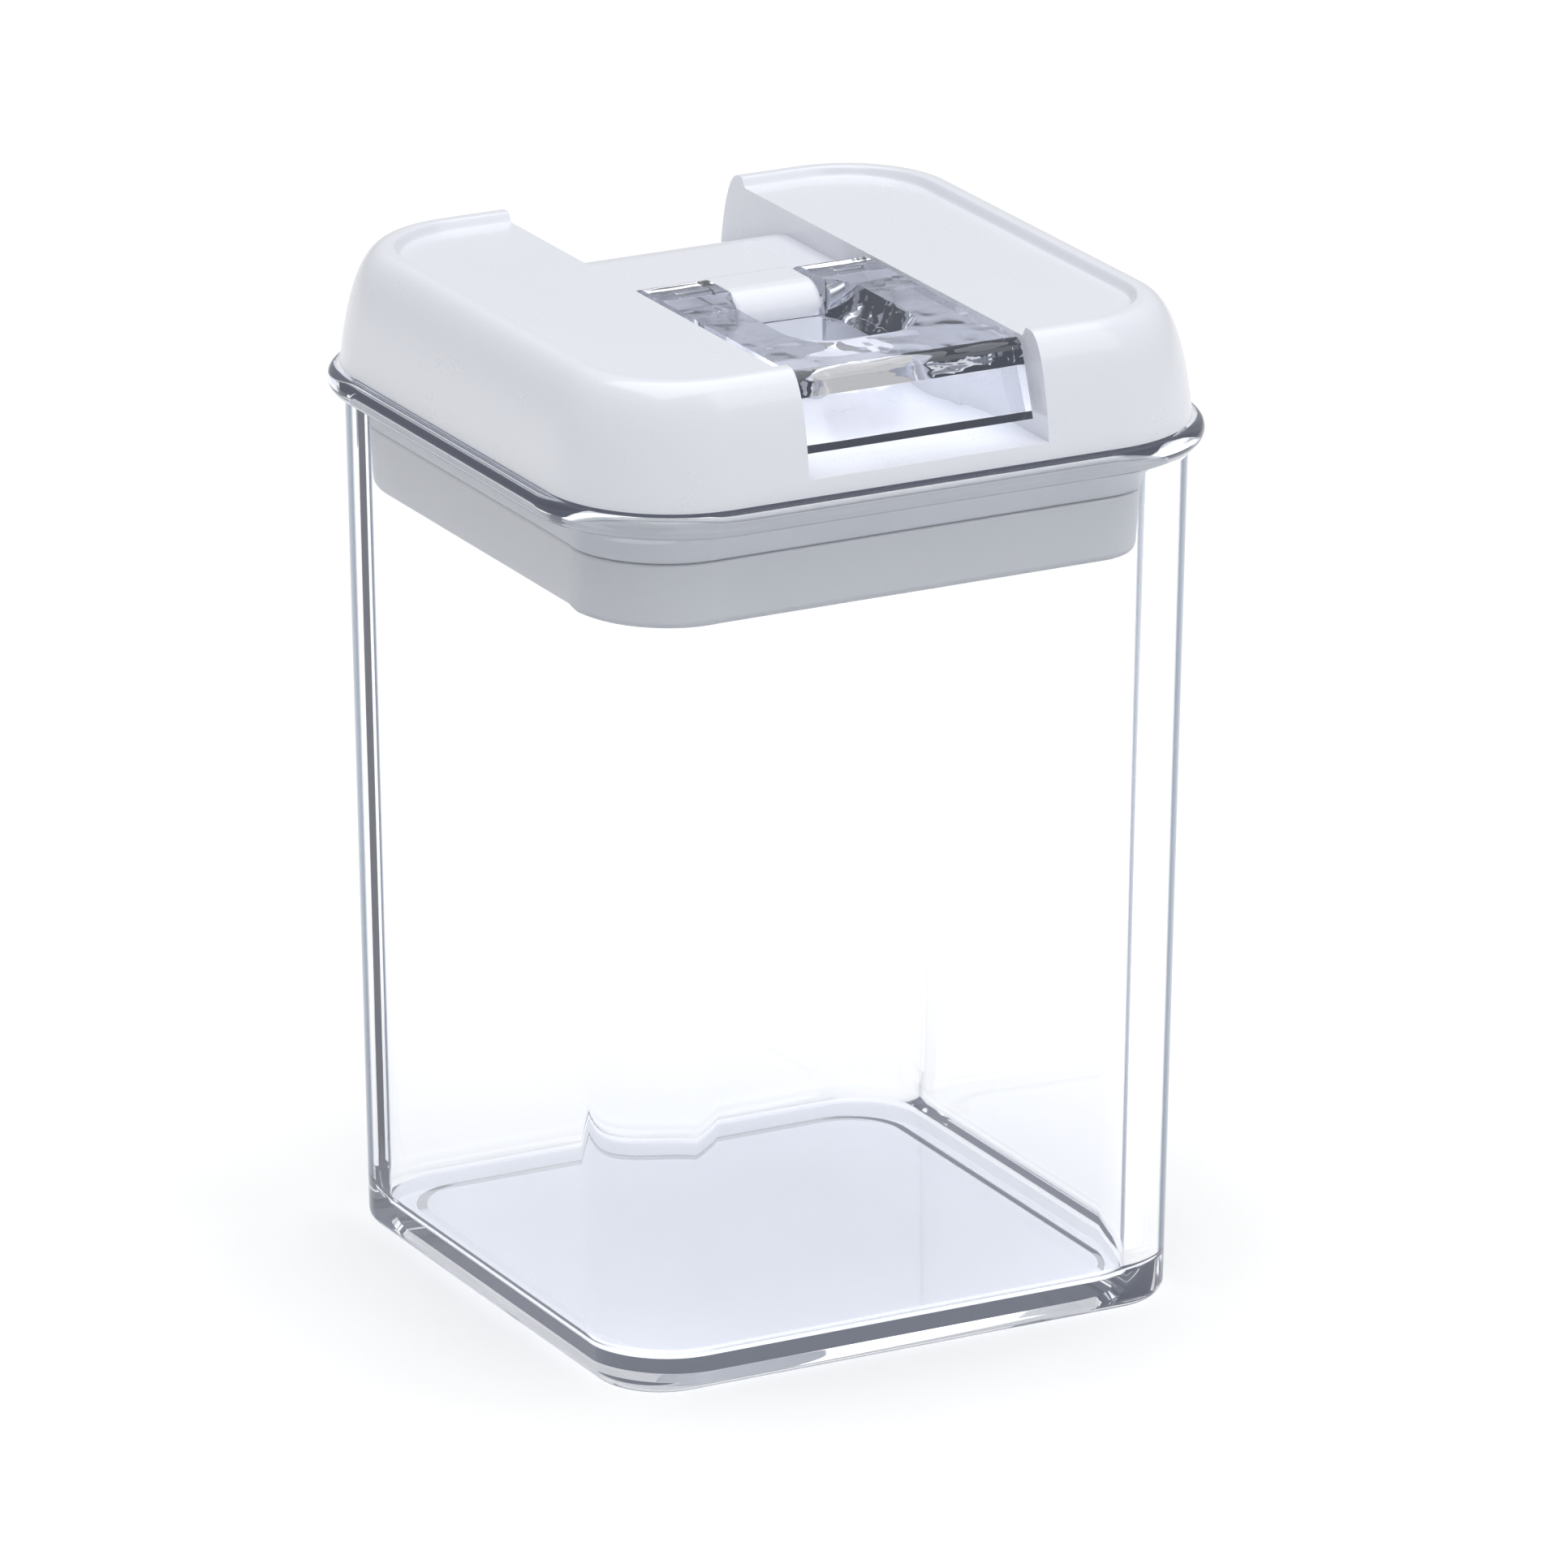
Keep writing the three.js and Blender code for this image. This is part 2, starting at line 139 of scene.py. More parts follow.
jar_high = node_box("glass_jar")[1]
cover_low, cover_high = node_box("lid_cover")
frame_low, frame_high = node_box("lid_underframe")
seal_low, seal_high = node_box("seal_gasket")
plate_low, plate_high = node_box("pressure_plate")
post_low, post_high = node_box("lift_post")
lever_high = node_box("flip_lever")[1]
pin_low, pin_high = node_box("pivot_pin")

RIM = jar_high[2]
JAR_HALF = jar_high[0] - BEAD_REACH
OUTER_CENTRE = JAR_HALF - JAR_CORNER
INNER_CENTRE = JAR_HALF - JAR_WALL - MOUTH_CORNER
COVER_HALF = cover_high[0]
COVER_BASE = cover_low[2]
CREST = cover_high[2]
COVER_CENTRE = COVER_HALF - COVER_CORNER
CREST_HALF = COVER_HALF - CREST_INSET
LEVER_HALF = lever_high[0]
LEVER_TOP = lever_high[2]
CHANNEL_HALF = LEVER_HALF + LEVER_SIDE
PIN_Y = PIN_BEHIND_CENTRE
PIN_Z = (pin_low[2] + pin_high[2]) / 2
PIN_RADIUS = (pin_high[2] - pin_low[2]) / 2
WELL = PIN_Z - CAM_REACH - GAP
WELL_REAR = PIN_Y + CAM_REACH + SWEEP_CLEARANCE
DISH = LEVER_TOP
DECK = DISH - DECK_DROP
DECK_REAR = WELL_REAR + DECK_RUN
RAMP_EDGE = DISH - RAMP_EDGE_DROP
POST_HALF = post_high[0]
SLOT_FRONT = post_low[1] - SLIDE


# ---------------------------------------------------------------- surfaces

CORNER_STEPS = 24
QUARTER_SIGNS = np.array([[1, 1], [-1, 1], [-1, -1], [1, -1]])


def share(steps):
    """Even shares from 0 to 1."""
    return np.linspace(0.0, 1.0, steps + 1)


def smooth(t):
    """A ramp from 0 to 1, level at both ends: three t squared less two t cubed."""
    return t * t * (3 - 2 * t)


def arc(centre, radius, start, end, steps=8):
    """Points round a circle in a section, its angles in degrees from the first axis."""
    angle = np.radians(start + (end - start) * share(steps))
    return np.column_stack([centre[0] + radius * np.cos(angle), centre[1] + radius * np.sin(angle)])


def section(*parts):
    """Points, and runs of points, joined into one section of (half-width, height) rows."""
    return np.vstack([np.atleast_2d(part) for part in parts])


def fillet(before, at, after, radius, steps=5):
    """A section's corner rounded off: the arc that touches the lines on both sides of it."""
    before, at, after = (np.asarray(point, float) for point in (before, at, after))
    first = (before - at) / np.linalg.norm(before - at)
    second = (after - at) / np.linalg.norm(after - at)
    half_angle = math.acos(np.clip(first @ second, -1, 1)) / 2
    centre = at + (first + second) / np.linalg.norm(first + second) * radius / math.sin(half_angle)
    start = at + first * radius / math.tan(half_angle) - centre
    end = at + second * radius / math.tan(half_angle) - centre
    begin = math.atan2(start[1], start[0])
    sweep = (math.atan2(end[1], end[0]) - begin + math.pi) % (2 * math.pi) - math.pi
    angle = begin + sweep * share(steps)
    return centre + radius * np.column_stack([np.cos(angle), np.sin(angle)])


def filleted(points, radius):
    """An open section with its two end points kept and every corner between them rounded."""
    middle = [fillet(a, b, c, radius) for a, b, c in zip(points, points[1:], points[2:])]
    return section(points[0], *middle, points[-1])


def square_rings(rows, corner, steps=CORNER_STEPS, centre_y=0.0, longer=0.0):
    """
    Rings of a rounded square, one for each (half-width, height) row: four quarter circles of
    the corner radius, each moved out to its corner's centre. Longer adds to the half-length.
    """
    half, height = rows[:, :1], rows[:, 1:]
    corner = np.broadcast_to(corner, len(rows))[:, None]
    angle = (np.arange(4)[:, None] + share(steps)).ravel() * QUARTER
    sign_x, sign_y = np.repeat(QUARTER_SIGNS, steps + 1, axis=0).T
    x = sign_x * (half - corner) + corner * np.cos(angle)
    y = centre_y + sign_y * (half + longer - corner) + corner * np.sin(angle)
    return np.stack([x, y, np.broadcast_to(height, x.shape)], axis=2)


def jar_rings(rows, **options):
    """Rings whose corners turn about the centres of the jar's inner corners."""
    return square_rings(rows, rows[:, 0] - INNER_CENTRE, **options)


def make_object(name, points, faces):
    """A mesh object at the origin, shaded smooth."""
    mesh = bpy.data.meshes.new(name)
    mesh.from_pydata(np.asarray(points, float).reshape(-1, 3), [], faces)
    mesh.validate()
    mesh.shade_smooth()
    made = bpy.data.objects.new(name, mesh)
    bpy.context.scene.collection.objects.link(made)
    return made


def grid_faces(rows, columns, around=True, wrap=False):
    """Quads of a grid of points. Around closes each row; wrap joins the last row to the first."""
    row = np.arange(rows if wrap else rows - 1)[:, None]
    column = np.arange(columns if around else columns - 1)
    after, above = (column + 1) % columns, (row + 1) % rows
    low, high = row * columns, above * columns
    quads = [low + column, low + after, high + after, high + column]
    return np.stack(quads, axis=2).reshape(-1, 4)


def stack(name, rings, wrap=False):
    """A closed skin over a stack of rings: capped at both ends, or wrapped into a hoop."""
    rows, columns = rings.shape[:2]
    faces = grid_faces(rows, columns, wrap=wrap).tolist()
    if not wrap:
        faces.append(list(range(columns))[::-1])
        faces.append(list(range((rows - 1) * columns, rows * columns)))
    return outward(make_object(name, rings, faces))


def across(name, outline, low, high):
    """A Y-Z outline carried along X from low to high, and closed at both ends."""
    outline = np.asarray(outline, float)
    count = len(outline)
    ends = [np.column_stack([np.full(count, x), outline]) for x in (low, high)]
    faces = grid_faces(2, count).tolist()
    faces.append(list(range(count))[::-1])
    faces.append(list(range(count, 2 * count)))
    return outward(make_object(name, np.stack(ends), faces))


def block(name, low, high):
    """An upright block between two corners."""
    outline = [[low[1], low[2]], [high[1], low[2]], [high[1], high[2]], [low[1], high[2]]]
    return across(name, outline, low[0], high[0])


def pivot_bar(name, radius, half_length, chamfer=0.0):
    """A round bar along X through the pivot: circles of its radius, smaller at chamfered ends."""
    place = np.array([[-half_length], [chamfer - half_length], [half_length - chamfer], [half_length]])
    size = np.array([[radius - chamfer], [radius], [radius], [radius - chamfer]])
    if not chamfer:
        place, size = place[[0, 3]], size[[0, 3]]
    angle = 2 * math.pi * share(64)[:-1]
    y, z = PIN_Y + size * np.cos(angle), PIN_Z + size * np.sin(angle)
    return stack(name, np.stack([np.broadcast_to(place, y.shape), y, z], axis=2))


def outward(made):
    """The same closed mesh with its faces turned out: its signed volume made positive."""
    mesh = made.data
    mesh.calc_loop_triangles()
    corners = np.empty(len(mesh.loop_triangles) * 3, np.int32)
    points = np.empty(len(mesh.vertices) * 3)
    mesh.loop_triangles.foreach_get("vertices", corners)
    mesh.vertices.foreach_get("co", points)
    a, b, c = points.reshape(-1, 3)[corners.reshape(-1, 3)].transpose(1, 0, 2)
    if np.einsum("ij,ij->i", a, np.cross(b, c)).sum() < 0:
        mesh.flip_normals()
    return made


def settle(made):
    """Applies the object's modifiers to its mesh."""
    graph = bpy.context.evaluated_depsgraph_get()
    mesh = bpy.data.meshes.new_from_object(made.evaluated_get(graph))
    made.modifiers.clear()
    made.data, old = mesh, made.data
    bpy.data.meshes.remove(old)
    mesh.name = made.name
    return made


def combine(made, operation, tools):
    """The object with each tool cut from it or joined to it. The tools are used up."""
    for tool in tools:
        step = made.modifiers.new("combine", "BOOLEAN")
        step.operation, step.solver, step.object = operation, "EXACT", tool
        settle(made)
        bpy.data.objects.remove(tool)
    return made


def cut(made, *tools):
    """The object less each tool."""
    return combine(made, "DIFFERENCE", tools)


def join(made, *tools):
    """The object joined to each tool as one solid."""
    return combine(made, "UNION", tools)


def soften(made, width, segments=3, angle=35):
    """Rounds every seam that is sharper than the angle."""
    bevel = made.modifiers.new("soften", "BEVEL")
    bevel.width, bevel.segments, bevel.limit_method = width, segments, "ANGLE"
    bevel.angle_limit = math.radians(angle)
    return settle(made)


def even(made):
    """Shades the piece smooth, with its large faces kept flat."""
    made.data.shade_smooth()
    weigh = made.modifiers.new("even", "WEIGHTED_NORMAL")
    weigh.weight = 100
    return made


# ---------------------------------------------------------------- jar

def jar_outer(z):
    """Half-width of the jar's outside at a height: a straight wall, drafted from mouth to foot."""
    return JAR_HALF - JAR_DRAFT * (1 - z / RIM)


def jar_inner(z):
    """Half-width of the jar's inside at a height."""
    return jar_outer(z) - JAR_WALL


def make_jar():
    """
    The section runs from the recessed base panel out over the foot, up the wall, round the bead
    and the rim, and down the inside to the floor. Corners ease from the panel's to the wall's,
    and turn about centres of their own on the bead and inside, where the corners are rounder.
    """
    floor = PANEL_RECESS + JAR_FLOOR
    foot_half = jar_outer(0) - FOOT_ROUND
    panel_half = foot_half - FOOT_WIDTH - FOOT_STEP
    panel, step = [panel_half, PANEL_RECESS], [panel_half + FOOT_STEP, 0]
    bead_round, bead_half = BEAD_HEIGHT / 2, JAR_HALF + BEAD_REACH
    under = RIM - BEAD_HEIGHT
    fillet_level = floor + FLOOR_FILLET
    fillet_half = jar_inner(fillet_level) - FLOOR_FILLET
    outside = section(
        fillet([0, PANEL_RECESS], panel, step, STEP_ROUND),
        fillet(panel, step, [foot_half, 0], STEP_ROUND),
        arc([foot_half, FOOT_ROUND], FOOT_ROUND, -90, 0, 12),
    )
    under_bead = fillet([jar_outer(0), 0], [jar_outer(under), under], [bead_half, under], BEAD_FILLET)
    bead = arc([bead_half - bead_round, RIM - bead_round], bead_round, -90, 90, 20)
    inside = section(
        arc([jar_inner(RIM) + RIM_ROUND, RIM - RIM_ROUND], RIM_ROUND, 90, 180, 6),
        arc([fillet_half, fillet_level], FLOOR_FILLET, 0, -90, 16),
    )
    half = outside[:, 0]
    ease = smooth(np.clip((half - panel_half) / (foot_half - panel_half), 0, 1))
    reach = share(len(under_bead) - 1)
    under_centre = OUTER_CENTRE + (bead_half - BEAD_CORNER - OUTER_CENTRE) * reach
    corner = np.concatenate([
        (half - OUTER_CENTRE) * ease + (PANEL_CORNER + half - panel_half) * (1 - ease),
        under_bead[:, 0] - under_centre,
        bead[:, 0] - (bead_half - BEAD_CORNER),
        inside[:, 0] - INNER_CENTRE,
    ])
    return stack("jar_shell", square_rings(section(outside, under_bead, bead, inside), corner))


# ---------------------------------------------------------------- cover

def cover_curve(t):
    """The cover's side: one cubic curve from its lower edge, steep, over to the level crest."""
    handles = np.array([
        [COVER_HALF, COVER_BASE],
        [COVER_HALF - LEAN_INSET, (COVER_BASE + CREST) / 2],
        [COVER_HALF - SHOULDER_INSET, CREST],
        [CREST_HALF, CREST],
    ])
    t = np.asarray(t, float)
    weights = np.column_stack([(1 - t) ** 3, 3 * t * (1 - t) ** 2, 3 * t * t * (1 - t), t ** 3])
    return weights @ handles


def curve_share(z):
    """The share along the cover's curve at which it reaches a height."""
    fine = share(4000)
    return float(np.interp(z, cover_curve(fine)[:, 1], fine))


def cover_half_at(z):
    """The cover's half-width at a height."""
    return cover_curve([curve_share(z)])[0, 0]


def cover_corner(half):
    """Corner radius, easing from the lower edge's to the crest's and then following the rim."""
    eased = COVER_CORNER + (CREST_CORNER - COVER_CORNER) * (COVER_HALF - half) / CREST_INSET
    return np.where(half < CREST_HALF, CREST_CORNER - (CREST_HALF - half), eased)


def wing_grid(rows):
    """
    The right wing's skin, a row for each (half-width, height): from the channel's wall at the
    front, round the two right-hand corners, to the channel's wall at the back.
    """
    half, height = rows[:, :1], rows[:, 1:]
    corner = cover_corner(half)
    flat = half - corner
    straight = CHANNEL_HALF + (flat - CHANNEL_HALF) * share(3)[:-1]
    angle = QUARTER * share(CORNER_STEPS)
    bend_x, bend_y = flat + corner * np.sin(angle), flat + corner * np.cos(angle)
    side = flat * (2 * share(6)[1:-1] - 1)
    edge, across_edge = half + 0 * straight, half + 0 * side
    x = np.hstack([straight, bend_x, across_edge, bend_x[:, ::-1], straight[:, ::-1]])
    y = np.hstack([-edge, -bend_y, side, bend_y[:, ::-1], edge])
    return np.stack([x, y, np.broadcast_to(height, x.shape)], axis=2)


def channel_floor():
    """The channel's floor from front to back: well, step, deck, a soft bend and the ramp."""
    low, high, bend = [WELL_REAR, WELL], [WELL_REAR, DECK], [DECK_REAR, DECK]
    return section(
        fillet([0, WELL], low, high, STEP_FILLET),
        fillet(low, high, bend, STEP_FILLET),
        fillet(high, bend, [cover_half_at(RAMP_EDGE), RAMP_EDGE], DECK_BEND, 10),
    )


def cover_skin(name):
    """The cover as a closed solid: two wings, the channel between them, and a flat underside."""
    t = np.unique(np.concatenate([share(28), [curve_share(WELL), curve_share(RAMP_EDGE)]]))
    notch, ramp = np.searchsorted(t, [curve_share(WELL), curve_share(RAMP_EDGE)])
    drop = share(10)
    rim_half = CREST_HALF - CREST_WIDTH - DISH_ROUND * drop
    rows = section(cover_curve(t), np.column_stack([rim_half, CREST - (CREST - DISH) * smooth(drop)]))
    wing = wing_grid(rows)
    floor = channel_floor()
    bed = np.column_stack([np.full(len(floor), CHANNEL_HALF), floor])
    mirror = np.array([-1, 1, 1])
    rings, columns = wing.shape[:2]
    size = rings * columns
    points = np.vstack([wing.reshape(-1, 3), bed, wing.reshape(-1, 3) * mirror, bed * mirror])

    other = size + len(bed)
    grid = np.arange(size).reshape(rings, columns)
    quads = grid_faces(rings, columns, around=False)
    front, back = grid[:, 0], grid[:, -1]
    chain = np.concatenate([[front[notch]], size + np.arange(len(bed)), [back[ramp]]])

    def strip(line):
        """Quads from the left wing's copy of a line of points to the right wing's."""
        return np.column_stack([line[:-1] + other, line[:-1], line[1:], line[1:] + other])

    wall = np.concatenate([front[notch:], back[ramp:][::-1], chain[1:-1][::-1]])
    faces = [*quads.tolist(), *(quads[:, ::-1] + other).tolist()]
    faces += strip(front[: notch + 1]).tolist()
    faces += strip(back[: ramp + 1])[:, ::-1].tolist()
    faces += strip(chain).tolist()
    faces += [wall.tolist(), (wall[::-1] + other).tolist()]
    faces += [grid[-1].tolist(), (grid[-1][::-1] + other).tolist()]
    faces += [np.concatenate([grid[0][::-1], grid[0] + other]).tolist()]
    return outward(make_object(name, points, faces))


def tub_outline(depth):
    """The channel's floor in the Y-Z plane, lowered by a depth, with everything above it."""
    reach = COVER_HALF + CUT
    slope = (DECK - RAMP_EDGE) / (cover_half_at(RAMP_EDGE) - DECK_REAR)
    return [
        [-reach, WELL - depth],
        [WELL_REAR + depth, WELL - depth],
        [WELL_REAR + depth, DECK - depth],
        [DECK_REAR, DECK - depth],
        [reach, DECK - depth - slope * (reach - DECK_REAR)],
        [reach, CREST + CUT],
        [-reach, CREST + CUT],
    ]


def tub(depth):
    """The channel and a wall round it, as a solid to cut with."""
    half = CHANNEL_HALF + depth
    return across("tub", tub_outline(depth), -half, half)


def cover_hollow():
    """The space under the cover: its skin moved in by a wall, less the tub of the channel."""
    top = DISH - COVER_WALL
    side = cover_curve(share(16))
    level = COVER_BASE + (side[:, 1] - COVER_BASE) * (top - COVER_BASE) / (CREST - COVER_BASE)
    inside = np.column_stack([side[:, 0] - COVER_WALL, level])
    rows = section([COVER_HALF - COVER_WALL, COVER_BASE - CUT], inside)
    corner = cover_corner(rows[:, 0] + COVER_WALL) - COVER_WALL
    return cut(stack("cover_hollow", square_rings(rows, corner, steps=12)), tub(COVER_WALL))


def post_room(room, low, high):
    """A block that takes the post's section with some room round it."""
    x, front, rear = POST_HALF + room, post_low[1] - room, post_high[1] + room
    return block("post_room", [-x, front, low], [x, rear, high])


def make_cover():
    """The cover's solid with its seams rounded, hollowed from below and cut for the post."""
    cover = soften(cover_skin("cover_shell"), COVER_EDGE, segments=4)
    return cut(cover, cover_hollow(), post_room(SLIDE, WELL - CUT, WELL + CUT))


# ---------------------------------------------------------------- underframe, seal and plate

def make_underframe():
    """
    A tray whose flange rests on the rim and whose skirt plugs the mouth. A rib under it keeps
    the seal in place, and it is cut away for the cover's well and for the post.
    """
    bottom, top, flange = frame_low[2], frame_high[2], frame_high[0]
    deck = seal_high[2] + GAP
    skirt = jar_inner(deck) - MOUTH_CLEARANCE
    rib = seal_high[0] - SEAL_WIDTH - GAP
    inner, floor = skirt - FRAME_WALL, deck + FRAME_WALL
    profile = [
        [rib - 2 * RIB_WALL, deck], [rib - RIB_WALL, deck], [rib - RIB_WALL, bottom], [rib, bottom],
        [rib, deck], [skirt, deck], [skirt, COVER_BASE], [flange, COVER_BASE],
        [flange, top], [inner, top], [inner, floor], [inner - 2 * RIB_WALL, floor],
    ]
    rows = filleted(profile, MOULD_EDGE)
    on_flange = (rows[:, 0] > skirt + MOULD_EDGE / 2) | (rows[:, 1] > COVER_BASE + MOULD_EDGE)
    corner = rows[:, 0] - np.where(on_flange & (rows[:, 0] > skirt), COVER_CENTRE, INNER_CENTRE)
    body = stack("underframe", square_rings(rows, corner))
    return cut(body, tub(COVER_WALL + GAP), post_room(SLIDE, bottom - CUT, top))


def make_seal():
    """A hoop whose outer face swells in a half sine between its two edges."""
    low, high, outer = seal_low[2], seal_high[2], seal_high[0]
    turn = math.pi * share(16)
    level = low + (high - low) * (1 - np.cos(turn)) / 2
    face = np.column_stack([outer - SEAL_BULGE * (1 - np.sin(turn)), level])
    inner = outer - SEAL_WIDTH
    back = section(
        fillet(face[-1], [inner, high], [inner, low], MOULD_EDGE),
        fillet([inner, high], [inner, low], face[0], MOULD_EDGE),
    )
    return stack("seal_ring", jar_rings(section(face, back)), wrap=True)


def make_plate():
    """A shallow tray with a rounded foot and a socket that holds the post."""
    low, top, half = plate_low[2], plate_high[2], plate_high[0]
    foot = half - PLATE_DRAFT
    floor = low + PLATE_WALL
    rows = section(
        arc([foot - PLATE_ROUND, low + PLATE_ROUND], PLATE_ROUND, -90, 0, 12),
        fillet([foot, low], [half, top], [half - PLATE_WALL, top], MOULD_EDGE),
        fillet([half, top], [half - PLATE_WALL, top], [foot - PLATE_WALL, floor], MOULD_EDGE),
        fillet([half - PLATE_WALL, top], [foot - PLATE_WALL, floor], [0, floor], PLATE_ROUND),
    )
    plate = stack("plate_tray", jar_rings(rows))
    room = GAP + SOCKET_WALL
    socket = post_room(room, low + PLATE_WALL / 2, floor + SOCKET_HEIGHT)
    return cut(join(plate, soften(socket, MOULD_EDGE)), post_room(GAP, floor, top))


# ---------------------------------------------------------------- post, lever and pin

def make_post():
    """The post's side outline, rounded over its top, with a hollow core and the pin's bore."""
    front, rear, foot, top = post_low[1], post_high[1], post_low[2], post_high[2]
    outline = section(
        [front, foot],
        [rear, foot],
        arc([rear - POST_ROUND, top - POST_ROUND], POST_ROUND, 0, 90, 16),
        arc([front + POST_ROUND, top - POST_ROUND], POST_ROUND, 90, 180, 16),
    )
    body = soften(across("post_block", outline, -POST_HALF, POST_HALF), POST_EDGE, segments=5)
    core = post_room(-POST_WALL, foot - CUT, top - POST_SOLID)
    return cut(body, core, pivot_bar("bore", PIN_RADIUS + GAP, 2 * POST_HALF))


def cam_edge():
    """
    The cam's edge. Turned by an angle, the cam reaches its full reach less an even share of the
    drop, so a point is that reach along its normal and the share's slope across it.
    """
    slope = CAM_DROP / QUARTER
    angle = QUARTER * share(24)
    reach = CAM_REACH - slope * angle
    y = PIN_Y + reach * np.sin(angle) - slope * np.cos(angle)
    z = PIN_Z - reach * np.cos(angle) - slope * np.sin(angle)
    return np.column_stack([y, z])


def lever_outline():
    """The lever from the side: cam, rounded back, flat top, front face, lip and underside."""
    rear = PIN_Y + CAM_REACH - CAM_DROP
    under, lip = LEVER_TOP - LEVER_PLATE, lever_low_lip()
    front_top, front_low = -CREST_HALF, LIP_INSET - cover_half_at(lip)
    belly = -180 - math.degrees(math.asin((under - PIN_Z) / CAM_REACH))
    return section(
        cam_edge(),
        arc([rear - REAR_ROUND, LEVER_TOP - REAR_ROUND], REAR_ROUND, 0, 90, 16),
        arc([front_top + LEVER_ROUND, LEVER_TOP - LEVER_ROUND], LEVER_ROUND, 90, 165, 12),
        [front_low, lip],
        [front_low + LIP_WALL, lip],
        [front_top + LIP_WALL, under],
        arc([PIN_Y - CAM_DROP / QUARTER, PIN_Z], CAM_REACH, belly, -90, 24)[:-1],
    )


def lever_low_lip():
    """The height of the lip's lower edge over the floor of the well."""
    return WELL + LIP_RISE


def finger_tool():
    """The flared finger opening: rounded rectangles that widen from below to above the plate."""
    under = LEVER_TOP - LEVER_PLATE
    level = np.array([under - CUT, LEVER_TOP + CUT])
    flare = (level - under) * FINGER_FLARE / LEVER_PLATE
    rows = np.column_stack([FINGER_WIDTH / 2 + flare, level])
    rings = square_rings(
        rows,
        FINGER_CORNER + flare,
        steps=12,
        centre_y=SLOT_FRONT - FINGER_LENGTH / 2,
        longer=(FINGER_LENGTH - FINGER_WIDTH) / 2,
    )
    return stack("finger", rings)


def make_lever():
    """The lever's outline carried across, cut for the post, a fingertip and the pin."""
    slot = block(
        "slot",
        [-POST_HALF - SLIDE, SLOT_FRONT, WELL],
        [POST_HALF + SLIDE, PIN_Y + CAM_REACH + CUT, LEVER_TOP + CUT],
    )
    body = across("lever_body", lever_outline(), -LEVER_HALF, LEVER_HALF)
    body = soften(cut(body, slot, finger_tool()), LEVER_EDGE, angle=30)
    return cut(body, pivot_bar("bore", PIN_RADIUS + GAP, 2 * LEVER_HALF))


# ---------------------------------------------------------------- materials

class Value:
    """A number that varies over a surface; arithmetic on it adds Math nodes."""

    def __init__(self, nodes, socket):
        self.nodes, self.socket = nodes, socket

    def calc(self, operation, *values):
        """The result of one Math node."""
        return Value(self.nodes, self.nodes.add("Math", {"operation": operation}, *values).outputs[0])

    def __add__(self, other):
        return self.calc("ADD", self, other)

    def __radd__(self, other):
        return self.calc("ADD", other, self)

    def __sub__(self, other):
        return self.calc("SUBTRACT", self, other)

    def __rsub__(self, other):
        return self.calc("SUBTRACT", other, self)

    def __mul__(self, other):
        return self.calc("MULTIPLY", self, other)

    def __rmul__(self, other):
        return self.calc("MULTIPLY", other, self)


class Nodes:
    """A material's node tree, filled by one method."""

    def __init__(self, name):
        self.material = bpy.data.materials.new(name)
        self.material.use_nodes = True
        self.tree = self.material.node_tree
        self.tree.nodes.clear()

    def add(self, kind, settings=None, *values, **sockets):
        """A node of a type, with its settings made first and then its sockets set or linked."""
        node = self.tree.nodes.new("ShaderNode" + kind)
        for key, value in (settings or {}).items():
            if key == "stops":
                for element, (place, colour) in zip(self.ramp_elements(node, len(value)), value):
                    element.position, element.color = place, (*colour, 1)
            else:
                setattr(node, key, value)
        for key, value in [*enumerate(values), *sockets.items()]:
            socket = node.inputs[key if isinstance(key, int) else key.replace("_", " ")]
            self.feed(socket, value)
        return node

    def ramp_elements(self, node, count):
        """The stops of a colour ramp, as many as asked for."""
        elements = node.color_ramp.elements
        while len(elements) < count:
            elements.new(1)
        return elements

    def feed(self, socket, value):
        """Links a socket or a node's first output, or sets a plain number or colour."""
        if isinstance(value, Value):
            value = value.socket
        if isinstance(value, bpy.types.Node):
            value = value.outputs[0]
        if isinstance(value, bpy.types.NodeSocket):
            self.tree.links.new(value, socket)
        elif isinstance(value, tuple) and len(value) == 3 and socket.type == "RGBA":
            socket.default_value = (*value, 1)
        else:
            socket.default_value = value

    def place(self, stretch=(1, 1, 1)):
        """Object coordinates, stretched along the axes."""
        coordinates = self.add("TexCoord").outputs["Object"]
        return self.add("Mapping", None, Vector=coordinates, Scale=stretch)

    def noise(self, size, detail=3.0, stretch=(1, 1, 1)):
        """Soft noise from 0 to 1 with patches about as wide as the size, in metres."""
        node = self.add(
            "TexNoise", None, Vector=self.place(stretch), Scale=1 / size, Detail=detail, Roughness=0.55
        )
        return Value(self, node.outputs["Fac"])

    def shade(self, pattern, low, high):
        """A colour that goes from low to high with a pattern."""
        mix = self.add("Mix", {"data_type": "RGBA"})
        self.feed(mix.inputs[0], pattern)
        self.feed(mix.inputs[6], low)
        self.feed(mix.inputs[7], high)
        return mix.outputs[2]

    def bump(self, height, depth):
        """A normal from a height pattern, whose full range stands for a depth in metres."""
        return self.add("Bump", None, Height=height, Strength=1.0, Distance=depth)

    def finish(self, shader):
        """Ends the tree at the material's output."""
        self.add("OutputMaterial", None, Surface=shader.outputs[0])
        return self.material


